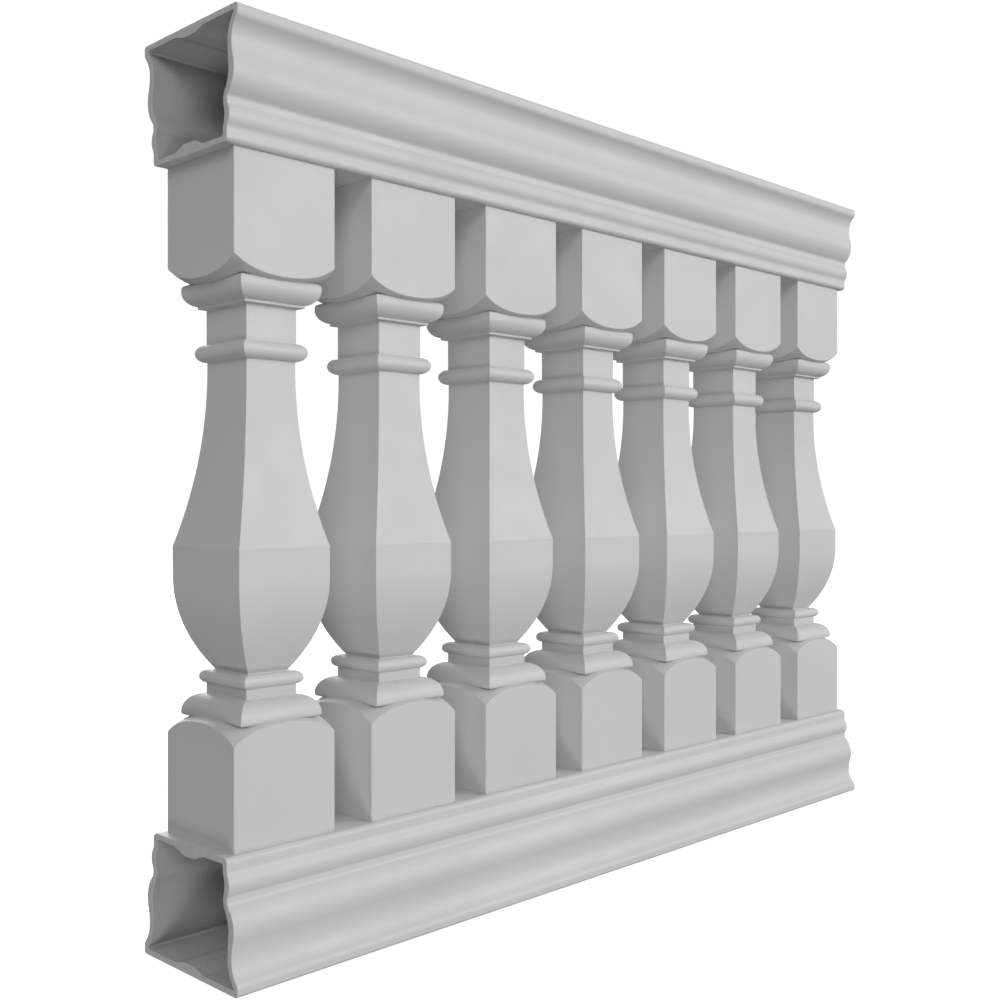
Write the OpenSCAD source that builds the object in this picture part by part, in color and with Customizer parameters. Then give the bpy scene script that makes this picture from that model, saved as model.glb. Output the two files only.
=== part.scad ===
// One bay of a moulded fiberglass balustrade: two hollow moulded rails with a row of
// turned-pattern balusters between them. The end blocks of a baluster are square in plan, and
// its mouldings are rectangular, a little deeper front to back than they are wide.
// Millimetres. +X runs along the rails, -Y is the front and +Z is up.
// The origin is the middle of the bottom rail's flat base.

/* [Bay] */
// Number of balusters in the bay
baluster_count = 7; // [2:1:12]
// Distance between the centres of neighbouring balusters
baluster_pitch = 177.8; // [150:0.1:260]
// How far each rail runs past the face of its end baluster
rail_overhang = 12.7; // [2:0.1:80]

/* [Rails] */
// Height of one rail, from its wide flat face to the face that meets the balusters
rail_height = 133.35; // [130:0.05:180]
// Thickness of the wide wall and of the wall that meets the balusters
wall = 6.35; // [3:0.05:9]
// Thickness of the side walls at the fascia, the cove, the groove and the seat
side_wall = 7.1; // [4:0.1:8]
// Thickness of the side walls at the crown of the bulge
bulge_wall = 9.6; // [8:0.1:11]
// Thickness of the side walls at the crown of the bead
bead_wall = 8.6; // [8:0.1:10]
// How far the edge of the seat stands outside the faces of the balusters' blocks
seat_margin = 6.6; // [2:0.1:12]
// How far the fascia stands outside the seat
fascia_swell = 18.8; // [16:0.1:24]
// How far the deepest line of the cove stands outside the seat
cove_swell = 8.2; // [6:0.1:10]
// How far the crown of the bulge stands outside the seat
bulge_swell = 12.4; // [11.5:0.1:14]
// How far the floor of the groove stands outside the seat
groove_swell = 0.6; // [0:0.1:1.5]
// How far the crown of the bead stands outside the seat
bead_swell = 4.4; // [3:0.1:6]
// Height of the fascia above the wide flat face
fascia_h = 8; // [7:0.1:10]
// Radius of the edge between the wide flat face and the fascia
fascia_edge_r = 4; // [1:0.1:6]
// Radius that turns the fascia into the cove
fascia_turn_r = 9; // [8.5:0.1:12]
// Height of the deepest line of the cove above the wide flat face
cove_level = 34.5; // [32:0.1:37]
// Height of the crown of the bulge above the wide flat face
bulge_level = 62; // [59:0.1:65]
// Height above the wide flat face at which the floor of the groove starts
groove_level = 90; // [88:0.1:92]
// Radius that turns the bulge into the floor of the groove
groove_r = 5.6; // [2:0.1:9]
// Height of the upright floor of the groove
groove_floor_h = 5.3; // [2:0.1:8]
// Height of the crown of the bead above the wide flat face
bead_level = 106; // [104:0.1:108]
// Height of the upright edge of the seat, its rounded corner included
seat_h = 12.35; // [10:0.05:16]
// Radius of the corner of the seat
seat_edge_r = 5.5; // [2:0.1:6]
// Width of the rib along the middle of the wide wall and of the seat wall, at its root
rib_root_w = 54; // [30:0.5:70]
// Width of the same rib at its crest
rib_crest_w = 20; // [10:0.5:28]
// How far the rib stands above the wide wall
wide_rib_h = 4.4; // [2:0.05:8]
// How far the rib stands above the seat wall
seat_rib_h = 6.35; // [2:0.05:8]

/* [Baluster blocks] */
// Height of one baluster
baluster_h = 711.2; // [640:0.1:900]
// Side of the square end blocks
block_w = 127; // [118:0.1:160]
// Height of a block along its corners
block_corner_h = 107.7; // [90:0.1:117]
// Radius of the upright edges of the blocks
block_edge_r = 1; // [0.5:0.1:6]
// Radius of the dome that rounds the shoulders of the blocks
shoulder_r = 60.3; // [56:0.1:66]
// How far the flat middle of that dome stays inside the faces of the block
shoulder_inset = 19.05; // [17:0.05:21]
// How far the mouldings sink into the top of that dome
shoulder_lap = 3.1; // [1:0.1:5]

/* [Baluster mouldings] */
// Extra half depth of the mouldings, front to back, over their half width along the rails
extra_depth = 6.35; // [2:0.05:10]
// Height of the base moulding
base_h = 23.7; // [21:0.1:28]
// How far the base moulding is set back from the faces of the block, along the rails
base_setback = 12.7; // [10.5:0.1:15.5]
// Height of the lower neck
lower_neck_h = 10.7; // [8:0.1:16]
// Half width of both necks
neck_reach = 31.5; // [28:0.1:33]
// Height of the lower bead
lower_bead_h = 14.4; // [12:0.1:18]
// Half width of the lower bead
lower_bead_reach = 37.3; // [35:0.1:41]
// Half width of the belly at its foot, where it meets the lower bead
belly_foot_reach = 24.4; // [20:0.1:30]
// Height of the rounded part of the belly
belly_curve_h = 100; // [80:0.5:120]
// Height of the upright part of the belly, up to its arris
belly_straight_h = 32.7; // [20:0.1:45]
// Half width of the shaft under the upper bead
shaft_reach = 30.9; // [27:0.1:33]
// Height of the upright top of the shaft
shaft_straight_h = 7.4; // [2:0.1:20]
// Height of the upper bead
upper_bead_h = 19.2; // [16:0.1:24]
// Half width of the upper bead
upper_bead_reach = 40.5; // [38:0.1:44]
// Height of the upper neck
upper_neck_h = 37.9; // [25:0.1:50]
// Height of the capital
capital_h = 26.4; // [24:0.1:32]
// How far the capital is set back from the faces of the block, along the rails
capital_setback = 12.7; // [10.5:0.1:14]
// Height of the square fillet under the capital
capital_fillet_h = 2.8; // [2:0.1:4]
// How far the fillet is set back from the capital's widest line
capital_fillet_setback = 12.7; // [11:0.1:13.5]
// Radius of the capital's round, which springs from the face of the fillet
capital_round_r = 16.2; // [14:0.1:17.5]
// Radius of the base's edge next to the block
base_edge_r = 3; // [1:0.1:4]
// Radius of the capital's edge next to the block
capital_edge_r = 4.8; // [1:0.1:5.5]

/* [Hidden] */
$fn = 64;

fiberglass = "gainsboro";

// How far a chord may stray from the arc it stands for.
chord_error = 0.08;
// How far a cutting shape runs past what it cuts.
cut_margin = 2;
// How much comes off the flat top of a block's dome, so that no face is left on the circles' seam.
dome_trim = 0.2;
// Points of a path that are closer than this are one point.
same_point = 0.01;

row_length = (baluster_count - 1) * baluster_pitch;
rail_length = row_length + block_w + 2 * rail_overhang;
bay_height = baluster_h + 2 * rail_height;

// Radius of an arc that starts upright and moves sideways by drop over a height of run.
// Where two arcs share the move, in an S, it is the sum of their radii.
function arc_r(drop, run) = (drop * drop + run * run) / (2 * drop);

// Direction from point a to point b, in degrees.
function aim(a, b) = atan2(b[1] - a[1], b[0] - a[0]);

// Points along an arc, both ends included.
function arc(centre, radius, from, to) =
  let (
    step = 2 * acos(1 - chord_error / max(radius, 1)),
    steps = ceil(abs(to - from) / step)
  )
  [
    for (i = [0 : steps])
      let (angle = from + (to - from) * i / steps)
      centre + radius * [cos(angle), sin(angle)]
  ];

// The same points without any that repeats the one before it.
function without_repeats(points) = [
  for (i = [0 : len(points) - 1])
    if (i == 0 || norm(points[i] - points[max(i - 1, 0)]) > same_point) points[i]
];

// Half widths of a rail, in the order that rail_side reads them: at the fascia, the cove, the
// bulge, the groove, the bead and the seat.
seat_reach = block_w / 2 + seat_margin;
fascia_reach = seat_reach + fascia_swell;
outer_reaches = [
  fascia_reach,
  seat_reach + cove_swell,
  seat_reach + bulge_swell,
  seat_reach + groove_swell,
  seat_reach + bead_swell,
  seat_reach
];
inner_reaches =
  outer_reaches - [side_wall, side_wall, bulge_wall, side_wall, bead_wall, side_wall];

// Half of a rail's outer or inner outline, with the wide flat face at level 0. Its foot and its
// top lie inset inside the rail's flat faces.
function rail_side(reaches, inset) =
  let (
    fascia = reaches[0],
    cove = reaches[1],
    bulge = reaches[2],
    groove = reaches[3],
    bead = reaches[4],
    seat = reaches[5],
    seat_turn_level = rail_height - seat_h,
    // Radii, each S shared out between its two arcs
    fascia_edge = max(fascia_edge_r - inset, 0),
    seat_edge = max(seat_edge_r - inset, 0),
    side_inset = fascia_reach - fascia,
    turn_r = fascia_turn_r - side_inset,
    floor_r = groove_r + side_inset,
    lower_cove_r = arc_r(fascia - cove, cove_level - fascia_h) - turn_r,
    bulge_r = arc_r(bulge - groove, groove_level - bulge_level) - floor_r,
    upper_cove_r = arc_r(bulge - cove, bulge_level - cove_level) - bulge_r,
    floor_top = [groove, groove_level + groove_floor_h],
    bead_r = arc_r(bead - groove, bead_level - floor_top[1]),
    seat_turn_r = arc_r(bead - seat, seat_turn_level - bead_level) - bead_r,
    // Centres, from the wide flat face to the seat
    turn_c = [fascia - turn_r, fascia_h],
    lower_cove_c = [cove + lower_cove_r, cove_level],
    upper_cove_c = [cove + upper_cove_r, cove_level],
    bulge_c = [bulge - bulge_r, bulge_level],
    floor_c = [groove + floor_r, groove_level],
    bead_c = [bead - bead_r, bead_level],
    seat_turn_c = [seat + seat_turn_r, seat_turn_level],
    // Directions in which neighbouring arcs meet
    cove_aim = aim(turn_c, lower_cove_c),
    bulge_aim = aim(upper_cove_c, bulge_c),
    groove_aim = aim(bulge_c, floor_c),
    seat_aim = aim(bead_c, seat_turn_c)
  )
  concat(
    arc([fascia - fascia_edge, inset + fascia_edge], fascia_edge, -90, 0),
    arc(turn_c, turn_r, 0, cove_aim),
    arc(lower_cove_c, lower_cove_r, 180 + cove_aim, 180),
    arc(upper_cove_c, upper_cove_r, 180, bulge_aim),
    arc(bulge_c, bulge_r, bulge_aim - 180, groove_aim),
    arc(floor_c, floor_r, 180 + groove_aim, 180),
    arc(bead_c, bead_r, aim(bead_c, floor_top), seat_aim),
    arc(seat_turn_c, seat_turn_r, 180 + seat_aim, 180),
    arc([seat - seat_edge, rail_height - inset - seat_edge], seat_edge, 0, 90)
  );

// The dome of a block: it springs from the block's corners and ends in a flat middle.
block_corner_reach = norm([block_w / 2, block_w / 2] - block_edge_r * [1, 1]) + block_edge_r;
shoulder_flat_r = block_w / 2 - shoulder_inset;
dome_run = block_corner_reach - shoulder_flat_r;
dome_rise = shoulder_r - sqrt(shoulder_r * shoulder_r - dome_run * dome_run);
dome_top = block_corner_h + dome_rise;

// Half widths of the mouldings along the rails. The belly is as deep as the blocks.
base_reach = block_w / 2 - base_setback;
belly_reach = block_w / 2 - extra_depth;
capital_reach = block_w / 2 - capital_setback;

// Levels of the baluster's mouldings above its foot.
moulding_level = dome_top - shoulder_lap;
base_top = moulding_level + base_h;
lower_bead_foot = base_top + lower_neck_h;
lower_bead_top = lower_bead_foot + lower_bead_h;
belly_curve_top = lower_bead_top + belly_curve_h;
arris_level = belly_curve_top + belly_straight_h;
capital_top = baluster_h - moulding_level;
capital_foot = capital_top - capital_h;
capital_round_foot = capital_foot + capital_fillet_h;
capital_fillet_reach = capital_reach - capital_fillet_setback;
// Angle below the level at which the capital's round leaves the fillet.
capital_angle = acos(1 - capital_fillet_setback / capital_round_r);
capital_round_level = capital_round_foot + capital_round_r * sin(capital_angle);
upper_bead_top = capital_foot - upper_neck_h;
upper_bead_foot = upper_bead_top - upper_bead_h;
flare_top = upper_bead_foot - shaft_straight_h;

// Radii that the mouldings' sizes settle. The base's quarter round springs from the neck's
// face, as far as the base's height allows.
base_round_r = min(base_reach - neck_reach, base_h - base_edge_r);
belly_r = arc_r(belly_reach - belly_foot_reach, belly_curve_h);
flare_r = arc_r(belly_reach - shaft_reach, flare_top - arris_level);

// Angle at which a bead of this radius and centre leaves an upright face.
function bead_angle(face, centre_x, radius) = acos(max(face - centre_x, 0) / radius);

// A half-round bead between the upright faces below and above it.
function bead(reach, foot, height, face_below, face_above) =
  let (radius = height / 2, centre = [reach - radius, foot + radius])
  concat(
    [[face_below, foot]],
    arc(
      centre, radius,
      -bead_angle(face_below, centre[0], radius),
      bead_angle(face_above, centre[0], radius)
    ),
    [[face_above, foot + height]]
  );

// Half of the outline of the mouldings along the rails, from the lower block to the upper one.
mouldings_side = concat(
  // Base: a small edge, a band and a quarter round
  arc([base_reach - base_edge_r, moulding_level + base_edge_r], base_edge_r, -90, 0),
  arc([base_reach - base_round_r, base_top - base_round_r], base_round_r, 0, 90),
  [[neck_reach, base_top]],
  // Lower bead, then the belly up to its arris
  bead(lower_bead_reach, lower_bead_foot, lower_bead_h, neck_reach, belly_foot_reach),
  arc([belly_reach - belly_r, belly_curve_top], belly_r, -asin(belly_curve_h / belly_r), 0),
  // Flare of the shaft, then the upper bead and the neck
  arc(
    [shaft_reach + flare_r, flare_top], flare_r,
    180 + asin((flare_top - arris_level) / flare_r), 180
  ),
  bead(upper_bead_reach, upper_bead_foot, upper_bead_h, shaft_reach, neck_reach),
  // Capital: a fillet, a round that widens upwards, a band and a small edge
  [[neck_reach, capital_foot], [capital_fillet_reach, capital_foot]],
  arc(
    [capital_reach - capital_round_r, capital_round_level], capital_round_r,
    -capital_angle, 0
  ),
  arc([capital_reach - capital_edge_r, capital_top - capital_edge_r], capital_edge_r, 0, 90)
);

// The closed outline whose right half is side, with each half moved out by extra.
module outline(side, extra = 0) {
  right = without_repeats(side);
  polygon(concat(
    [for (p = right) [p[0] + extra, p[1]]],
    [for (i = [len(right) - 1 : -1 : 0]) [-right[i][0] - extra, right[i][1]]]
  ));
}

// The rib that thickens a wall along its middle. Level 0 is the wall's inner face, and the
// rib's root reaches half way into the wall.
module rib(rib_h) {
  polygon([
    [-rib_root_w / 2, -wall / 2],
    [rib_root_w / 2, -wall / 2],
    [rib_root_w / 2, 0],
    [rib_crest_w / 2, rib_h],
    [-rib_crest_w / 2, rib_h],
    [-rib_root_w / 2, 0]
  ]);
}

// One rail: an open-ended hollow moulding, drawn with its wide flat face down.
module rail() {
  rotate([90, 0, 90])
    linear_extrude(height = rail_length, center = true)
      difference() {
        outline(rail_side(outer_reaches, 0));
        difference() {
          outline(rail_side(inner_reaches, wall));
          translate([0, wall]) rib(wide_rib_h);
          translate([0, rail_height - wall]) mirror([0, 1]) rib(seat_rib_h);
        }
      }
}

// The mouldings, mitred at their corners where the two outlines cross.
module mouldings() {
  intersection() {
    rotate([90, 0, 0])
      linear_extrude(height = 2 * block_w, center = true) outline(mouldings_side);
    rotate([90, 0, 90])
      linear_extrude(height = 2 * block_w, center = true) outline(mouldings_side, extra_depth);
  }
}

// Plan of a block, with its rounded upright edges.
module block_plan() {
  edge_c = block_w / 2 - block_edge_r;
  polygon([
    for (quarter = [0 : 3])
      let (
        turn = 90 * quarter,
        corner = [sign(cos(turn + 45)), sign(sin(turn + 45))] * edge_c
      )
      each arc(corner, block_edge_r, turn, turn + 90)
  ]);
}

// One end block, standing on its square end, with its shoulders rounded by a dome.
module block() {
  intersection() {
    linear_extrude(height = dome_top + cut_margin) block_plan();
    rotate_extrude()
      intersection() {
        // The flat middle is trimmed, where the mouldings cover it.
        square([2 * block_w, dome_top - dome_trim]);
        union() {
          square([shoulder_flat_r, dome_top]);
          square([block_corner_reach + cut_margin, block_corner_h - dome_rise]);
          translate([shoulder_flat_r, dome_top - shoulder_r]) circle(r = shoulder_r);
        }
      }
  }
}

// One baluster, moulded in one piece and standing on its foot.
module baluster() {
  mouldings();
  block();
  translate([0, 0, baluster_h]) mirror([0, 0, 1]) block();
}

module bottom_rail() {
  color(fiberglass) rail();
}

module top_rail() {
  color(fiberglass)
    translate([0, 0, bay_height]) mirror([0, 0, 1]) rail();
}

module place_baluster(number) {
  x = (number - 1) * baluster_pitch - row_length / 2;
  color(fiberglass) translate([x, 0, rail_height]) baluster();
}

bottom_rail();
top_rail();
for (i = [1 : baluster_count])
  place_baluster(i);
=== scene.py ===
import math

import bmesh
import bpy
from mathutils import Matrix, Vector


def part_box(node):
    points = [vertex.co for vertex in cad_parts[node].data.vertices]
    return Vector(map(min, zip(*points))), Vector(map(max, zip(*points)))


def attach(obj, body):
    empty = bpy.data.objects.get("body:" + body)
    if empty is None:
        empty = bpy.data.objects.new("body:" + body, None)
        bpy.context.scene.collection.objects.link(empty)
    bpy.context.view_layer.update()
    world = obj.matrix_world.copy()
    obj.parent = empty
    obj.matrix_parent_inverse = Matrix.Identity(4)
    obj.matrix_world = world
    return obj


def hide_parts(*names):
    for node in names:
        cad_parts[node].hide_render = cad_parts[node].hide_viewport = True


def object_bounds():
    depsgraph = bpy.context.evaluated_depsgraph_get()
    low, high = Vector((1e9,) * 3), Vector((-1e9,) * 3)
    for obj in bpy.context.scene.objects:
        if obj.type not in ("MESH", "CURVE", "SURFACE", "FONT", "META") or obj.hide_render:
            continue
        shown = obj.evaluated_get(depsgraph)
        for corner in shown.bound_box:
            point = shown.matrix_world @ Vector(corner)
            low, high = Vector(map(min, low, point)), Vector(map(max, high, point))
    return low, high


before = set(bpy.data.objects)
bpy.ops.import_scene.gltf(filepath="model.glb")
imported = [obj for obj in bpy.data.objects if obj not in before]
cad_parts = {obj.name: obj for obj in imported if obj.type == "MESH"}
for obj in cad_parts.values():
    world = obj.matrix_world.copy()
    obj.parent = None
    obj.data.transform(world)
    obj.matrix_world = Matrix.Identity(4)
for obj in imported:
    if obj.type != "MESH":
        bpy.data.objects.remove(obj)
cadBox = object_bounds()
print("frame loaded,", len(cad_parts), "nodes")

mm = 0.001  # the dictionaries of pieces are in millimetres, the scene is in metres


# Outlines, in millimetres. Each is a list of points, and arcs are given in degrees.

arcTurn = 7  # widest step round an arc, in degrees
arcError = 0.012  # farthest that an arc may lie from its chords
smallestArc = 0.5  # radius below which an arc gets no finer steps
repeatGap = 0.01  # points nearer than this are one point
sharpestTurn = 14  # corners that turn by less, in degrees, stay as they are
sideShare = 0.45  # most of a side that the rounding of one corner may take
curveSteps = 5  # steps round one rounded corner


def arcRadius(drop, run):
    # radius of an arc that starts upright and moves sideways by drop over run
    return (drop * drop + run * run) / (2 * drop)


def aim(start, end):
    # direction from one point to another
    return math.degrees(math.atan2(end[1] - start[1], end[0] - start[0]))


def arcPoints(centre, radius, start, end):
    if radius <= 0:
        return [tuple(centre)]
    finest = math.degrees(2 * math.acos(1 - arcError / max(radius, smallestArc)))
    step = min(arcTurn, finest)
    count = max(1, math.ceil(abs(end - start) / step))
    angles = [math.radians(start + (end - start) * i / count) for i in range(count + 1)]
    return [(centre[0] + radius * math.cos(a), centre[1] + radius * math.sin(a)) for a in angles]


def withoutRepeats(points, closed=True):
    kept = []
    for point in points:
        if not kept or math.dist(point, kept[-1]) > repeatGap:
            kept.append(point)
    if closed and math.dist(kept[0], kept[-1]) <= repeatGap:
        kept.pop()
    return kept


def cornerCurve(start, corner, end):
    # a curve that leaves start and reaches end along the two sides of the corner
    points = []
    for step in range(curveSteps + 1):
        s = step / curveSteps
        point = start * (1 - s) ** 2 + corner * 2 * s * (1 - s) + end * s * s
        points.append((point.x, point.y))
    return points


def softened(points, radius, closed=True):
    # rounds the corners of an outline
    made = []
    count = len(points)
    for i, corner in enumerate(points):
        if not closed and i in (0, count - 1):
            made.append(corner)
            continue
        before = Vector(corner) - Vector(points[i - 1])
        after = Vector(points[(i + 1) % count]) - Vector(corner)
        turn = before.angle(after)
        if math.degrees(turn) < sharpestTurn:
            made.append(corner)
            continue
        reach = min(radius * math.tan(turn / 2), sideShare * before.length, sideShare * after.length)
        first = Vector(corner) - before.normalized() * reach
        last = Vector(corner) + after.normalized() * reach
        made += cornerCurve(first, Vector(corner), last)
    return made


# The rail's moulded section, with its wide flat face at level 0.
railSizes = {
    "fasciaHalf": 88.9,  # half widths, from the wide face towards the balusters
    "coveHalf": 78.3,
    "bulgeHalf": 82.5,
    "grooveHalf": 70.7,
    "beadHalf": 74.5,
    "seatHalf": 70.1,
    "fasciaTop": 8,  # levels
    "coveLevel": 34.5,
    "bulgeLevel": 62,
    "grooveLevel": 90,
    "grooveFloor": 5.3,
    "beadLevel": 106,
    "seatBand": 12.35,
    "edgeRadius": 4,
    "turnRadius": 9,
    "grooveRadius": 5.6,
    "seatRadius": 5.5,
    "flatWall": 6.35,  # walls
    "sideWall": 7.1,
    "bulgeWall": 9.6,
    "beadWall": 8.6,
    "ribRoot": 54,  # ribs in the middle of both flat walls
    "ribCrest": 20,
    "wideRib": 4.4,
    "seatRib": 6.35,
    "outerSoftening": 1.2,  # radius left by the mould in the creases
    "innerSoftening": 2.2,  # the laminate's fillets inside
    "cutEase": 0.5,  # sanded edge round the sawn ends
    "cutSteps": 3,  # steps round that edge
    "lengths": 24,  # the rail's skin is divided into this many lengths
}

railSlots = {"outer": 0, "inner": 1, "cut": 2}  # gelcoat, laminate and sawn edge


def railSide(sizes, inner):
    # right half of the section's outer or inner outline, from the wide face to the seat
    walls = ("sideWall", "sideWall", "bulgeWall", "sideWall", "beadWall", "sideWall")
    names = ("fasciaHalf", "coveHalf", "bulgeHalf", "grooveHalf", "beadHalf", "seatHalf")
    halves = [sizes[n] - (sizes[w] if inner else 0) for n, w in zip(names, walls)]
    fascia, cove, bulge, groove, bead, seat = halves
    inset = sizes["flatWall"] if inner else 0
    sideInset = sizes["sideWall"] if inner else 0
    top = sizes["height"]
    seatTurn = top - sizes["seatBand"]
    edge = max(sizes["edgeRadius"] - inset, 0)
    seatEdge = max(sizes["seatRadius"] - inset, 0)
    turn = sizes["turnRadius"] - sideInset
    floorRadius = sizes["grooveRadius"] + sideInset
    lowerCove = arcRadius(fascia - cove, sizes["coveLevel"] - sizes["fasciaTop"]) - turn
    bulgeRadius = arcRadius(bulge - groove, sizes["grooveLevel"] - sizes["bulgeLevel"]) - floorRadius
    upperCove = arcRadius(bulge - cove, sizes["bulgeLevel"] - sizes["coveLevel"]) - bulgeRadius
    floorTop = (groove, sizes["grooveLevel"] + sizes["grooveFloor"])
    beadRadius = arcRadius(bead - groove, sizes["beadLevel"] - floorTop[1])
    seatTurnRadius = arcRadius(bead - seat, seatTurn - sizes["beadLevel"]) - beadRadius
    turnCentre = (fascia - turn, sizes["fasciaTop"])
    lowerCentre = (cove + lowerCove, sizes["coveLevel"])
    upperCentre = (cove + upperCove, sizes["coveLevel"])
    bulgeCentre = (bulge - bulgeRadius, sizes["bulgeLevel"])
    floorCentre = (groove + floorRadius, sizes["grooveLevel"])
    beadCentre = (bead - beadRadius, sizes["beadLevel"])
    seatCentre = (seat + seatTurnRadius, seatTurn)
    coveAim = aim(turnCentre, lowerCentre)
    bulgeAim = aim(upperCentre, bulgeCentre)
    grooveAim = aim(bulgeCentre, floorCentre)
    seatAim = aim(beadCentre, seatCentre)
    return (
        arcPoints((fascia - edge, inset + edge), edge, -90, 0)
        + arcPoints(turnCentre, turn, 0, coveAim)
        + arcPoints(lowerCentre, lowerCove, 180 + coveAim, 180)
        + arcPoints(upperCentre, upperCove, 180, bulgeAim)
        + arcPoints(bulgeCentre, bulgeRadius, bulgeAim - 180, grooveAim)
        + arcPoints(floorCentre, floorRadius, 180 + grooveAim, 180)
        + arcPoints(beadCentre, beadRadius, aim(beadCentre, floorTop), seatAim)
        + arcPoints(seatCentre, seatTurnRadius, 180 + seatAim, 180)
        + arcPoints((seat - seatEdge, top - inset - seatEdge), seatEdge, 0, 90)
    )


def mirroredLoop(side):
    return side + [(-y, z) for y, z in reversed(side)]


def railLoops(sizes):
    # the outer and inner outlines of the section, both anticlockwise
    outer = withoutRepeats(mirroredLoop(railSide(sizes, False)))
    side = railSide(sizes, True)
    low, high = sizes["flatWall"], sizes["height"] - sizes["flatWall"]
    root, crest = sizes["ribRoot"] / 2, sizes["ribCrest"] / 2
    wideCrest, seatCrest = low + sizes["wideRib"], high - sizes["seatRib"]
    wideRib = [(-root, low), (-crest, wideCrest), (crest, wideCrest), (root, low)]
    seatRib = [(root, high), (crest, seatCrest), (-crest, seatCrest), (-root, high)]
    inner = wideRib + side + seatRib + [(-y, z) for y, z in reversed(side)]
    outer = softened(outer, sizes["outerSoftening"])
    inner = softened(withoutRepeats(inner), sizes["innerSoftening"])
    return withoutRepeats(outer), withoutRepeats(inner)


def offsetLoop(points, distance):
    # moves an anticlockwise loop outwards, or inwards if the distance is negative
    made = []
    for i, point in enumerate(points):
        along = Vector(points[(i + 1) % len(points)]) - Vector(points[i - 1])
        out = Vector((along.y, -along.x)).normalized()
        made.append((point[0] + out.x * distance, point[1] + out.y * distance))
    return made


# Meshes

sharpAngle = math.radians(34)  # a wider turn between two faces stays a hard edge


def joinRings(bm, ring, following):
    # one strip of faces between two rings that have as many points each
    strip = []
    for j in range(len(ring)):
        k = (j + 1) % len(ring)
        strip.append(bm.faces.new((ring[j], ring[k], following[k], following[j])))
    return strip


def shadeMesh(mesh):
    mesh.shade_smooth()
    mesh.set_sharp_from_angle(angle=sharpAngle)


def finishMesh(name, bm):
    mesh = bpy.data.meshes.new(name)
    bm.to_mesh(mesh)
    bm.free()
    shadeMesh(mesh)
    piece = bpy.data.objects.new(name, mesh)
    bpy.context.scene.collection.objects.link(piece)
    return piece


def makeRail(name, sizes, box, upsideDown):
    # The section runs along X, from one sawn end to the other.
    sizes = dict(sizes, height=(box[1].z - box[0].z) / mm)
    outer, inner = railLoops(sizes)
    left, right = box[0].x / mm, box[1].x / mm
    ease, cutSteps, lengths = sizes["cutEase"], sizes["cutSteps"], sizes["lengths"]
    stations = []  # (x, how far the outline is drawn in there)
    for i in range(cutSteps + 1):
        angle = math.radians(90 * i / cutSteps)
        stations.append((left + ease * (1 - math.cos(angle)), ease * (1 - math.sin(angle))))
    length = right - left
    middle = [left + length * i / lengths for i in range(1, lengths)]
    stations += [(x, 0) for x in middle] + [(left + right - x, e) for x, e in reversed(stations)]
    bm = bmesh.new()

    def place(x, y, z):
        z = sizes["height"] - z if upsideDown else z
        return bm.verts.new((x * mm, y * mm, z * mm + box[0].z))

    skins = {"outer": [], "inner": []}
    for x, eased in stations:
        skins["outer"].append([place(x, y, z) for y, z in offsetLoop(outer, -eased)])
        skins["inner"].append([place(x, y, z) for y, z in offsetLoop(inner, eased)])
    for skin, rings in skins.items():
        strips = len(rings) - 1
        for i, (ring, following) in enumerate(zip(rings, rings[1:])):
            sanded = i < cutSteps or i >= strips - cutSteps
            for face in joinRings(bm, ring, following):
                face.material_index = railSlots["cut" if sanded else skin]
    for end in (0, -1):
        edges = []
        for rings in skins.values():
            ring = rings[end]
            edges += [bm.edges.get((ring[j], ring[(j + 1) % len(ring)])) for j in range(len(ring))]
        for face in bmesh.ops.triangle_fill(bm, use_beauty=True, edges=edges)["geom"]:
            if isinstance(face, bmesh.types.BMFace):
                face.material_index = railSlots["cut"]
    bmesh.ops.recalc_face_normals(bm, faces=bm.faces)
    return finishMesh(name, bm)


# One baluster: square blocks with domed shoulders, and mouldings between them.
balusterSizes = {
    "blockHalf": 63.5,
    "blockCorner": 107.7,  # height of a block at its corners
    "blockEdge": 1,
    "blockEdgeSteps": 8,
    "blockFaceSteps": 24,
    "footEase": 0.6,  # the rounded edge where a block meets its rail
    "footBow": 0.3,  # share of that edge at which its curve is halfway round
    "rimEase": 0.8,  # where the faces turn into the dome
    "shoulderRadius": 60.3,
    "shoulderInset": 19.05,
    "domeSteps": 12,
    "mouldingLap": 3.1,  # how far the mouldings reach into the dome
    "extraDepth": 6.35,  # the mouldings are this much deeper per side, front to back
    "baseHeight": 23.7,
    "baseHalf": 50.8,
    "baseEdge": 3,
    "neckHalf": 31.5,
    "lowerNeck": 10.7,
    "lowerBead": 14.4,
    "lowerBeadHalf": 37.3,
    "bellyFootHalf": 24.4,
    "bellyCurve": 100,
    "bellyStraight": 32.7,
    "shaftHalf": 30.9,
    "shaftStraight": 7.4,
    "upperBead": 19.2,
    "upperBeadHalf": 40.5,
    "upperNeck": 37.9,
    "capital": 26.4,
    "capitalHalf": 50.8,
    "capitalFillet": 2.8,
    "filletSetback": 12.7,
    "capitalRound": 16.2,
    "capitalEdge": 4.8,
    "creaseSoftening": 0.8,
    "mitreRadius": 0.45,  # where the mouldings turn the corner
    "mitreSteps": 4,
    "mouldingFaceSteps": 2,
    "weld": 0.02,  # corners nearer than this where blocks and mouldings meet are made one
}


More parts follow.
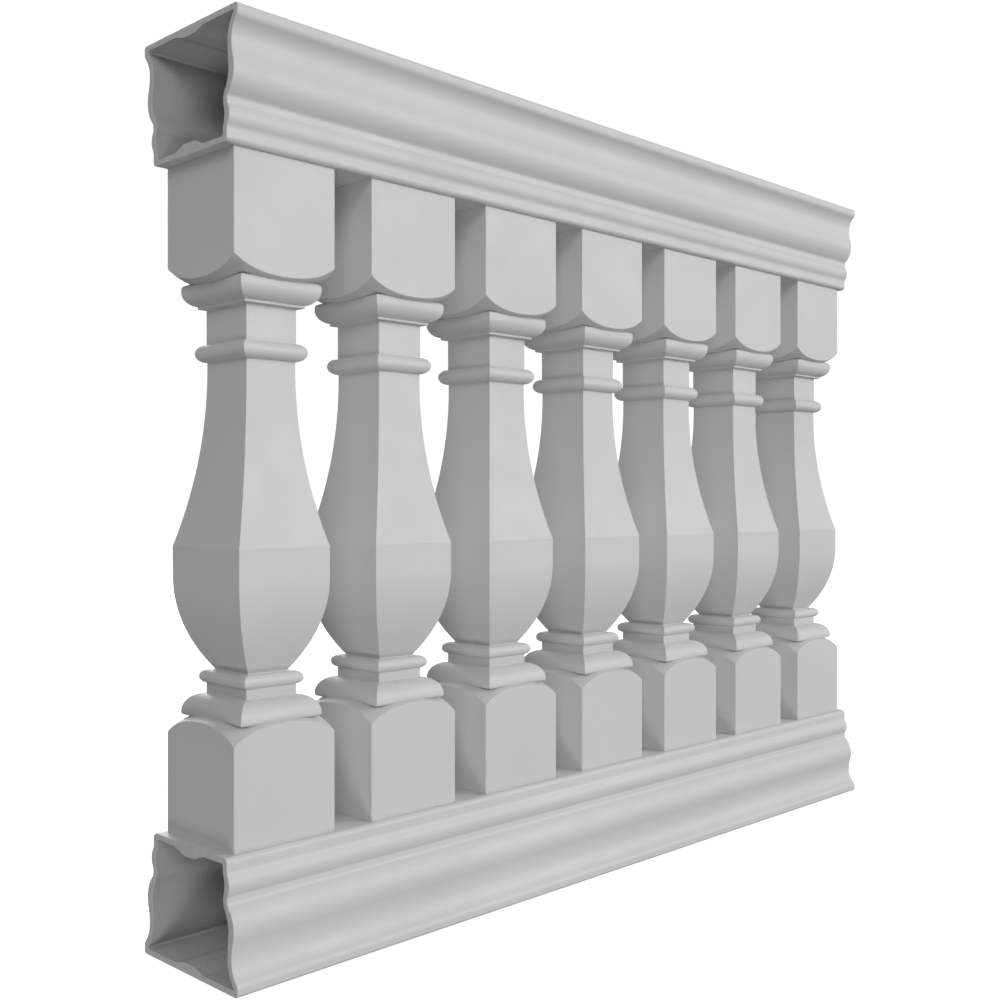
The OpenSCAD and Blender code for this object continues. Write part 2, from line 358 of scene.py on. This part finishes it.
def mouldingSide(sizes):
    # (half width, level) from the lower block to the upper one
    top = sizes["height"] - sizes["mouldingLevel"]
    low = sizes["mouldingLevel"]
    small, capitalEdge = sizes["baseEdge"], sizes["capitalEdge"]
    neck, belly, shaft = sizes["neckHalf"], sizes["bellyHalf"], sizes["shaftHalf"]
    baseTop = low + sizes["baseHeight"]
    baseRound = sizes["baseHalf"] - neck
    beadFoot = baseTop + sizes["lowerNeck"]
    beadTop = beadFoot + sizes["lowerBead"]
    curveTop = beadTop + sizes["bellyCurve"]
    arris = curveTop + sizes["bellyStraight"]
    capitalFoot = top - sizes["capital"]
    upperTop = capitalFoot - sizes["upperNeck"]
    upperFoot = upperTop - sizes["upperBead"]
    flareTop = upperFoot - sizes["shaftStraight"]
    bellyRadius = arcRadius(belly - sizes["bellyFootHalf"], sizes["bellyCurve"])
    flareRadius = arcRadius(belly - shaft, flareTop - arris)
    capitalAngle = math.acos(1 - sizes["filletSetback"] / sizes["capitalRound"])
    roundLevel = capitalFoot + sizes["capitalFillet"] + sizes["capitalRound"] * math.sin(capitalAngle)

    def bead(half, foot, height, below, above):
        radius = height / 2
        centre = (half - radius, foot + radius)
        first = math.degrees(math.acos(max(below - centre[0], 0) / radius))
        last = math.degrees(math.acos(max(above - centre[0], 0) / radius))
        return [(below, foot)] + arcPoints(centre, radius, -first, last) + [(above, foot + height)]

    bellyStart = -math.degrees(math.asin(sizes["bellyCurve"] / bellyRadius))
    flareStart = 180 + math.degrees(math.asin((flareTop - arris) / flareRadius))
    side = arcPoints((sizes["baseHalf"] - small, low + small), small, -90, 0)
    side += arcPoints((neck, baseTop - baseRound), baseRound, 0, 90)
    side += bead(sizes["lowerBeadHalf"], beadFoot, sizes["lowerBead"], neck, sizes["bellyFootHalf"])
    side += arcPoints((belly - bellyRadius, curveTop), bellyRadius, bellyStart, 0)
    side += arcPoints((shaft + flareRadius, flareTop), flareRadius, flareStart, 180)
    side += bead(sizes["upperBeadHalf"], upperFoot, sizes["upperBead"], shaft, neck)
    side += [(neck, capitalFoot), (sizes["capitalHalf"] - sizes["filletSetback"], capitalFoot)]
    side += arcPoints(
        (sizes["capitalHalf"] - sizes["capitalRound"], roundLevel),
        sizes["capitalRound"], -math.degrees(capitalAngle), 0,
    )
    side += arcPoints((sizes["capitalHalf"] - capitalEdge, top - capitalEdge), capitalEdge, 0, 90)
    return softened(withoutRepeats(side, False), sizes["creaseSoftening"], closed=False)


def roundedPlan(halfX, halfY, radius, cornerSteps, flatSteps):
    # a rectangle with rounded corners, anticlockwise from its right side
    corners = []
    for quarter, (signX, signY) in enumerate(((1, 1), (-1, 1), (-1, -1), (1, -1))):
        centre = (signX * (halfX - radius), signY * (halfY - radius))
        angles = [math.radians(90 * quarter + 90 * i / cornerSteps) for i in range(cornerSteps + 1)]
        corners.append([(centre[0] + radius * math.cos(a), centre[1] + radius * math.sin(a)) for a in angles])
    points = []
    for corner, following in zip(corners, corners[1:] + corners[:1]):
        points += corner
        start, end = Vector(corner[-1]), Vector(following[0])
        points += [tuple(start.lerp(end, i / flatSteps)) for i in range(1, flatSteps)]
    return points


def skinRings(bm, rings):
    # closes a stack of rings into one shell
    for ring, following in zip(rings, rings[1:]):
        joinRings(bm, ring, following)
    bm.faces.new(list(reversed(rings[0])))
    bm.faces.new(rings[-1])
    bmesh.ops.recalc_face_normals(bm, faces=bm.faces)


def mouldingsShell(sizes):
    bm = bmesh.new()
    rings = []
    radius, cornerSteps, flatSteps = sizes["mitreRadius"], sizes["mitreSteps"], sizes["mouldingFaceSteps"]
    for half, level in mouldingSide(sizes):
        plan = roundedPlan(half, half + sizes["extraDepth"], radius, cornerSteps, flatSteps)
        rings.append([bm.verts.new((x * mm, y * mm, level * mm)) for x, y in plan])
    skinRings(bm, rings)
    return bm


def blockShell(sizes, flipped):
    # Columns of points climb the block's sides and run in over its dome.
    half = sizes["blockHalf"]
    flat = half - sizes["shoulderInset"]
    radius = sizes["shoulderRadius"]

    def domeLevel(r):
        # r is measured from the baluster's axis
        return sizes["domeTop"] - radius + math.sqrt(radius**2 - (r - flat) ** 2)

    plan = roundedPlan(half, half, sizes["blockEdge"], sizes["blockEdgeSteps"], sizes["blockFaceSteps"])
    ease, rim, domeSteps = sizes["footEase"], sizes["rimEase"], sizes["domeSteps"]
    bow = sizes["footBow"] * ease
    columns = []
    for x, y in plan:
        r = math.hypot(x, y)
        level = domeLevel(r)
        slope = math.asin((r - flat) / radius)
        start = Vector((r, level - rim))
        end = Vector((r - rim * math.cos(slope), level + rim * math.sin(slope)))
        column = [(r - ease, 0.0), (r - bow, bow), (r, ease)]
        column += cornerCurve(start, Vector((r, level)), end)
        for j in range(1, domeSteps + 1):
            inner = end.x + (flat - end.x) * j / domeSteps
            column.append((inner, domeLevel(inner)))
        columns.append([(x / r * reach, y / r * reach, z) for reach, z in column])
    bm = bmesh.new()
    rings = []
    for points in zip(*columns):
        ring = []
        for x, y, z in points:
            z = sizes["height"] - z if flipped else z
            ring.append(bm.verts.new((x * mm, y * mm, z * mm)))
        rings.append(ring)
    skinRings(bm, rings)
    return bm


def applyModifiers(piece):
    # turns what the modifiers make into the piece's own mesh
    bpy.context.view_layer.update()
    graph = bpy.context.evaluated_depsgraph_get()
    mesh = bpy.data.meshes.new_from_object(piece.evaluated_get(graph))
    piece.modifiers.clear()
    piece.data = mesh


def makeBalusterMesh(sizes, box):
    # The blocks and the mouldings are moulded together, so their shells are joined into one skin.
    sizes = dict(sizes, height=(box[1].z - box[0].z) / mm)
    radius = sizes["shoulderRadius"]
    corner = math.sqrt(2) * (sizes["blockHalf"] - sizes["blockEdge"]) + sizes["blockEdge"]
    run = corner - sizes["blockHalf"] + sizes["shoulderInset"]
    sizes["domeTop"] = sizes["blockCorner"] + radius - math.sqrt(radius**2 - run**2)
    sizes["mouldingLevel"] = sizes["domeTop"] - sizes["mouldingLap"]
    sizes["bellyHalf"] = sizes["blockHalf"] - sizes["extraDepth"]
    shaft = finishMesh("balusterMoulding", mouldingsShell(sizes))
    blocks = [finishMesh("balusterBlock", blockShell(sizes, flipped)) for flipped in (False, True)]
    for block in blocks:
        joined = shaft.modifiers.new("join", "BOOLEAN")
        joined.operation = "UNION"
        joined.solver = "EXACT"
        joined.object = block
    applyModifiers(shaft)
    for block in blocks:
        bpy.data.objects.remove(block)
    mesh = shaft.data
    bpy.data.objects.remove(shaft)
    bm = bmesh.new()
    bm.from_mesh(mesh)
    bmesh.ops.remove_doubles(bm, verts=bm.verts, dist=sizes["weld"] * mm)
    bmesh.ops.dissolve_degenerate(bm, edges=bm.edges, dist=sizes["weld"] * mm)
    bmesh.ops.triangulate(bm, faces=bm.faces)
    bm.verts.index_update()
    corners = {}
    for face in bm.faces:
        corners.setdefault(frozenset(vert.index for vert in face.verts), []).append(face)
    folded = [face for pair in corners.values() if len(pair) == 2 for face in pair]
    bmesh.ops.delete(bm, geom=folded, context="FACES")  # slivers folded flat along the joint
    openEdges = [edge for edge in bm.edges if not edge.is_manifold]
    print("baluster joined,", len(folded), "folded faces removed,", len(openEdges), "open edges")
    bm.to_mesh(mesh)
    bm.free()
    shadeMesh(mesh)
    mesh.name = "baluster"
    return mesh


# Materials

white = (1, 1, 1, 1)
nodeGap = 180  # keeps the nodes apart in the editor
pieceSpread = 3.0  # a piece's patterns are shifted by its place times this, so that no two match
noiseSpan = {"From Min": 0.3, "From Max": 0.7}  # nearly all of a noise lies between these


def hexColour(code):
    # sRGB hex to linear
    channels = [int(code[i : i + 2], 16) / 255 for i in (1, 3, 5)]
    return tuple(c / 12.92 if c <= 0.04045 else ((c + 0.055) / 1.055) ** 2.4 for c in channels) + (1,)


def addNode(tree, kind, settings=None, links=None):
    # Adds a node. Settings are its properties, or its inputs where the name or number is an input's.
    node = tree.nodes.new(kind)
    node.location = (nodeGap * len(tree.nodes), 0)
    for key, value in (settings or {}).items():
        if isinstance(key, int) or key in node.inputs:
            node.inputs[key].default_value = value
        else:
            setattr(node, key, value)
    for key, source in (links or {}).items():
        tree.links.new(source, node.inputs[key])
    return node


def newMaterial(name):
    # an empty material, and object coordinates that differ from piece to piece
    material = bpy.data.materials.new(name)
    material.use_nodes = True
    tree = material.node_tree
    tree.nodes.clear()
    coordinates = addNode(tree, "ShaderNodeTexCoord")
    info = addNode(tree, "ShaderNodeObjectInfo")
    spread = addNode(
        tree, "ShaderNodeVectorMath", {"operation": "SCALE", "Scale": pieceSpread},
        {0: info.outputs["Location"]},
    )
    place = addNode(
        tree, "ShaderNodeVectorMath", {"operation": "ADD"},
        {0: coordinates.outputs["Object"], 1: spread.outputs[0]},
    )
    return material, tree, place.outputs[0]


def perMetre(width):
    # pattern scale from the width of one blotch in millimetres
    return 1 / (width * mm)


gelcoatLook = {
    "colour": "#cdcdcd",
    "shade": "#c8c8c8",
    "patchWidth": 160,  # a batch of gelcoat clouds over about a hand's breadth
    "polishWidth": 45,  # a pass of the polishing cloth on the mould
    "smoothest": 0.5,
    "roughest": 0.6,
    "peelWidth": 3.5,  # orange peel is 2 to 5 mm wide
    "peelDepth": 0.012,  # mm, as are the widths
    "grainWidth": 0.9,  # the mould's own grain is about 0.1 mm, drawn coarser so that it shows
    "grainDepth": 0.004,
    "refraction": 1.5,
}


def satinGelcoat(look):
    # Moulded polyester gelcoat, satin. The eye gets an even off-white with a broad soft sheen that
    # is broken by a faint orange peel and by patches that took the mould's polish differently.
    material, tree, place = newMaterial("satinGelcoat")
    clouds = addNode(
        tree, "ShaderNodeTexNoise", {"Scale": perMetre(look["patchWidth"]), "Detail": 3.0}, {"Vector": place}
    )
    cloudy = addNode(tree, "ShaderNodeMapRange", noiseSpan, {"Value": clouds.outputs["Fac"]})
    colour = addNode(
        tree, "ShaderNodeMix",
        {"data_type": "RGBA", 6: hexColour(look["colour"]), 7: hexColour(look["shade"])},
        {0: cloudy.outputs[0]},
    )
    polish = addNode(
        tree, "ShaderNodeTexNoise", {"Scale": perMetre(look["polishWidth"]), "Detail": 4.0}, {"Vector": place}
    )
    roughness = addNode(
        tree, "ShaderNodeMapRange",
        {**noiseSpan, "To Min": look["smoothest"], "To Max": look["roughest"]},
        {"Value": polish.outputs["Fac"]},
    )
    peel = addNode(
        tree, "ShaderNodeTexNoise", {"Scale": perMetre(look["peelWidth"]), "Detail": 1.0}, {"Vector": place}
    )
    peelBump = addNode(
        tree, "ShaderNodeBump", {"Strength": 1.0, "Distance": look["peelDepth"] * mm},
        {"Height": peel.outputs["Fac"]},
    )
    grain = addNode(
        tree, "ShaderNodeTexNoise", {"Scale": perMetre(look["grainWidth"]), "Detail": 2.0}, {"Vector": place}
    )
    grainBump = addNode(
        tree, "ShaderNodeBump", {"Strength": 1.0, "Distance": look["grainDepth"] * mm},
        {"Height": grain.outputs["Fac"], "Normal": peelBump.outputs[0]},
    )
    shader = addNode(
        tree, "ShaderNodeBsdfPrincipled", {"IOR": look["refraction"]},
        {"Base Color": colour.outputs[2], "Roughness": roughness.outputs[0], "Normal": grainBump.outputs[0]},
    )
    addNode(tree, "ShaderNodeOutputMaterial", links={"Surface": shader.outputs[0]})
    return material


laminateLook = {
    "resin": "#b6b6b6",
    "glass": "#c4c4c4",
    "strandWidth": 1.6,  # a strand of the mat is about 1 mm wide and 50 mm long, drawn a little wider
    "strandLength": 40,
    "strandDepth": 0.05,
    "strandSpan": {"From Min": 0.5, "From Max": 0.8},  # the part of the noise that stands up as strands
    "strandLays": ((20, 35, 50), (-40, -25, 100), (75, 60, 160), (5, -70, 20)),  # degrees
    "rollerWidth": 12,  # streaks that the laminating roller left in the resin's gloss
    "smoothest": 0.58,
    "roughest": 0.75,
    "resinWidth": 9,  # the resin's own waves over the mat
    "resinDepth": 0.06,
    "refraction": 1.52,
}


def handLaidLaminate(look):
    # The back of a hand-laid laminate: chopped glass strands lie in every direction under
    # a thin resin coat, so it is duller than the gelcoat and shows a fine crossed relief.
    material, tree, place = newMaterial("handLaidLaminate")
    strands = None
    for lay in look["strandLays"]:
        laid = addNode(
            tree, "ShaderNodeMapping",
            {
                "Rotation": tuple(math.radians(turn) for turn in lay),
                "Scale": (1, look["strandWidth"] / look["strandLength"], 1),
            },
            {"Vector": place},
        )
        layer = addNode(
            tree, "ShaderNodeTexNoise", {"Scale": perMetre(look["strandWidth"]), "Detail": 1.0},
            {"Vector": laid.outputs[0]},
        )
        if strands is None:
            strands = layer.outputs["Fac"]
        else:
            higher = addNode(
                tree, "ShaderNodeMath", {"operation": "MAXIMUM"}, {0: strands, 1: layer.outputs["Fac"]}
            )
            strands = higher.outputs[0]
    raised = addNode(tree, "ShaderNodeMapRange", look["strandSpan"], {"Value": strands})
    colour = addNode(
        tree, "ShaderNodeMix",
        {"data_type": "RGBA", 6: hexColour(look["resin"]), 7: hexColour(look["glass"])},
        {0: raised.outputs[0]},
    )
    streaks = addNode(
        tree, "ShaderNodeTexNoise", {"Scale": perMetre(look["rollerWidth"]), "Detail": 3.0}, {"Vector": place}
    )
    roughness = addNode(
        tree, "ShaderNodeMapRange",
        {**noiseSpan, "To Min": look["smoothest"], "To Max": look["roughest"]},
        {"Value": streaks.outputs["Fac"]},
    )
    relief = addNode(
        tree, "ShaderNodeBump", {"Strength": 1.0, "Distance": look["strandDepth"] * mm},
        {"Height": raised.outputs[0]},
    )
    waves = addNode(
        tree, "ShaderNodeTexNoise", {"Scale": perMetre(look["resinWidth"]), "Detail": 2.0}, {"Vector": place}
    )
    resin = addNode(
        tree, "ShaderNodeBump", {"Strength": 1.0, "Distance": look["resinDepth"] * mm},
        {"Height": waves.outputs["Fac"], "Normal": relief.outputs[0]},
    )
    shader = addNode(
        tree, "ShaderNodeBsdfPrincipled", {"IOR": look["refraction"]},
        {"Base Color": colour.outputs[2], "Roughness": roughness.outputs[0], "Normal": resin.outputs[0]},
    )
    addNode(tree, "ShaderNodeOutputMaterial", links={"Surface": shader.outputs[0]})
    return material


cutLook = {
    "colour": "#c9c9c9",
    "shade": "#bcbcbc",
    "cloudWidth": 5,  # glass layers that the saw opened, a few millimetres across
    "dustWidth": 3,  # dust rubbed into the cut, which dulls it in specks
    "smoothest": 0.68,
    "roughest": 0.82,
    "gritWidth": 0.8,  # the sanding grit is about 0.2 mm, drawn coarser so that it shows
    "gritDepth": 0.02,
    "refraction": 1.52,
}


def sawnLaminate(look):
    # A sawn and sanded laminate edge: dry, with a fine grit and a faint cloudiness.
    material, tree, place = newMaterial("sawnLaminate")
    clouds = addNode(
        tree, "ShaderNodeTexNoise", {"Scale": perMetre(look["cloudWidth"]), "Detail": 4.0}, {"Vector": place}
    )
    cloudy = addNode(tree, "ShaderNodeMapRange", noiseSpan, {"Value": clouds.outputs["Fac"]})
    colour = addNode(
        tree, "ShaderNodeMix",
        {"data_type": "RGBA", 6: hexColour(look["colour"]), 7: hexColour(look["shade"])},
        {0: cloudy.outputs[0]},
    )
    dust = addNode(
        tree, "ShaderNodeTexNoise", {"Scale": perMetre(look["dustWidth"]), "Detail": 2.0}, {"Vector": place}
    )
    roughness = addNode(
        tree, "ShaderNodeMapRange",
        {**noiseSpan, "To Min": look["smoothest"], "To Max": look["roughest"]},
        {"Value": dust.outputs["Fac"]},
    )
    grit = addNode(
        tree, "ShaderNodeTexNoise", {"Scale": perMetre(look["gritWidth"]), "Detail": 3.0}, {"Vector": place}
    )
    gritBump = addNode(
        tree, "ShaderNodeBump", {"Strength": 1.0, "Distance": look["gritDepth"] * mm},
        {"Height": grit.outputs["Fac"]},
    )
    shader = addNode(
        tree, "ShaderNodeBsdfPrincipled", {"IOR": look["refraction"]},
        {"Base Color": colour.outputs[2], "Roughness": roughness.outputs[0], "Normal": gritBump.outputs[0]},
    )
    addNode(tree, "ShaderNodeOutputMaterial", links={"Surface": shader.outputs[0]})
    return material


gelcoat = satinGelcoat(gelcoatLook)
laminate = handLaidLaminate(laminateLook)
cutEdge = sawnLaminate(cutLook)
print("materials made")


# Pieces

normalWeight = 60  # how far the larger faces decide the shading of a rounded edge


def settle(piece, node, materials):
    # gives a piece its materials and even shading, and hands it to the frame
    if not piece.data.materials:
        for material in materials:
            piece.data.materials.append(material)
    weighted = piece.modifiers.new("evenNormals", "WEIGHTED_NORMAL")
    weighted.keep_sharp = True
    weighted.weight = normalWeight
    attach(piece, "root")
    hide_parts(node)


for node, upsideDown in (("bottom_rail", False), ("top_rail", True)):
    rail = makeRail(node + "_moulding", railSizes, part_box(node), upsideDown)
    settle(rail, node, [gelcoat, laminate, cutEdge])
print("rails made")

balusterNodes = sorted(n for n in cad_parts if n.startswith("baluster_"))
balusterMesh = makeBalusterMesh(balusterSizes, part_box(balusterNodes[0]))
for node in balusterNodes:
    low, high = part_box(node)
    baluster = bpy.data.objects.new(node + "_moulding", balusterMesh)
    bpy.context.scene.collection.objects.link(baluster)
    baluster.location = ((low.x + high.x) / 2, (low.y + high.y) / 2, low.z)
    settle(baluster, node, [gelcoat])
print("balusters made,", len(balusterMesh.polygons), "faces each")


# Floor, light and camera

studio = {
    "roomAbove": 0.37,  # brightness of the soft room light over the floor's level
    "roomBelow": 0.08,
    "horizonBlend": 0.05,  # sine of the angle up and down over which one turns into the other
    "backdrop": 1.05,  # what the camera sees behind the bay
    "distance": 8,  # m from the bay to each softbox
    "size": 3,  # m across a softbox
    # degrees round the bay from its front, degrees up, and W
    "softboxes": {
        "key": (35, 15, 346),
        "fill": (-45, 30, 134),
        "bounce": (-45, -36, 156),  # stands for the light that a pale floor throws back up
        "back": (160, 20, 260),
    },
    "floorRadius": 40,  # m, so that its edge is lost behind the bay
    "floorRings": (0.0002, 0.05, 0.12, 0.25, 0.5, 1),  # shares of that radius
    "floorSides": 60,
    "floorDrop": 0.5,  # mm under the bay, so that the two faces don't flicker
    "floorColour": "#f6f6f6",
    "floorShade": "#f3f3f3",
    "floorRoughness": 0.9,
    "floorGlow": 0.74,
    "pourWidth": 300,  # mm, clouds in the floor's paint
}


def makeFloor(setup):
    bm = bmesh.new()
    rings = []
    angles = [math.radians(360 * i / setup["floorSides"]) for i in range(setup["floorSides"])]
    for share in setup["floorRings"]:
        radius = share * setup["floorRadius"]
        rings.append([bm.verts.new((radius * math.cos(a), radius * math.sin(a), 0)) for a in angles])
    for ring, following in zip(rings, rings[1:]):
        joinRings(bm, following, ring)
    bm.faces.new(rings[0])
    bmesh.ops.recalc_face_normals(bm, faces=bm.faces)
    mesh = bpy.data.meshes.new("floor")
    bm.to_mesh(mesh)
    bm.free()
    floor = bpy.data.objects.new("floor", mesh)
    bpy.context.scene.collection.objects.link(floor)
    floor.location.z = -setup["floorDrop"] * mm
    # The painted floor of a studio cove, lit from below so that it fades out.
    material, tree, place = newMaterial("paintedCove")
    clouds = addNode(
        tree, "ShaderNodeTexNoise", {"Scale": perMetre(setup["pourWidth"]), "Detail": 2.0}, {"Vector": place}
    )
    colour = addNode(
        tree, "ShaderNodeMix",
        {"data_type": "RGBA", 6: hexColour(setup["floorColour"]), 7: hexColour(setup["floorShade"])},
        {0: clouds.outputs["Fac"]},
    )
    shader = addNode(
        tree, "ShaderNodeBsdfPrincipled",
        {
            "Roughness": setup["floorRoughness"],
            "Emission Color": white,
            "Emission Strength": setup["floorGlow"],
        },
        {"Base Color": colour.outputs[2]},
    )
    addNode(tree, "ShaderNodeOutputMaterial", links={"Surface": shader.outputs[0]})
    mesh.materials.append(material)
    floor.visible_diffuse = False  # the bounce softbox stands for its light
    floor.visible_glossy = False
    floor.visible_shadow = False


def makeLight(setup):
    # The room lights the bay softly, and the camera sees the backdrop instead of the room.
    world = bpy.data.worlds.new("softRoom")
    bpy.context.scene.world = world
    world.use_nodes = True
    tree = world.node_tree
    tree.nodes.clear()
    coordinates = addNode(tree, "ShaderNodeTexCoord")
    level = addNode(tree, "ShaderNodeSeparateXYZ", links={0: coordinates.outputs["Generated"]})
    strength = addNode(
        tree, "ShaderNodeMapRange",
        {
            "From Min": -setup["horizonBlend"],
            "From Max": setup["horizonBlend"],
            "To Min": setup["roomBelow"],
            "To Max": setup["roomAbove"],
        },
        {"Value": level.outputs["Z"]},
    )
    room = addNode(tree, "ShaderNodeBackground", {"Color": white}, {"Strength": strength.outputs[0]})
    backdrop = addNode(tree, "ShaderNodeBackground", {"Color": white, "Strength": setup["backdrop"]})
    rays = addNode(tree, "ShaderNodeLightPath")
    both = addNode(
        tree, "ShaderNodeMixShader",
        links={0: rays.outputs["Is Camera Ray"], 1: room.outputs[0], 2: backdrop.outputs[0]},
    )
    addNode(tree, "ShaderNodeOutputWorld", links={"Surface": both.outputs[0]})
    middle = Vector((0, 0, (cadBox[0].z + cadBox[1].z) / 2))
    for name, (around, up, power) in setup["softboxes"].items():
        data = bpy.data.lights.new(name + "Softbox", "AREA")
        data.energy = power
        data.size = setup["size"]
        softbox = bpy.data.objects.new(name + "Softbox", data)
        around, up = math.radians(around), math.radians(up)
        away = Vector((math.sin(around) * math.cos(up), -math.cos(around) * math.cos(up), math.sin(up)))
        softbox.location = middle + away * setup["distance"]
        softbox.rotation_euler = away.to_track_quat("Z", "Y").to_euler()
        bpy.context.scene.collection.objects.link(softbox)


# Level with the middle of the bay, off its left front corner.
cameraSetup = {
    "lens": 44.37,  # mm
    "sensor": 36.0,  # mm
    "place": (-1.2896, -1.1179, 0.48895),  # m
    "turn": -45.49,  # degrees about Z
}


def makeCamera(setup):
    data = bpy.data.cameras.new("camera")
    data.lens = setup["lens"]
    data.sensor_width = setup["sensor"]
    camera = bpy.data.objects.new("camera", data)
    camera.location = setup["place"]
    camera.rotation_euler = (math.radians(90), 0, math.radians(setup["turn"]))
    bpy.context.scene.collection.objects.link(camera)
    bpy.context.scene.camera = camera


makeFloor(studio)
makeLight(studio)
makeCamera(cameraSetup)
bpy.context.scene.view_settings.view_transform = "Standard"
print("floor, light and camera set")
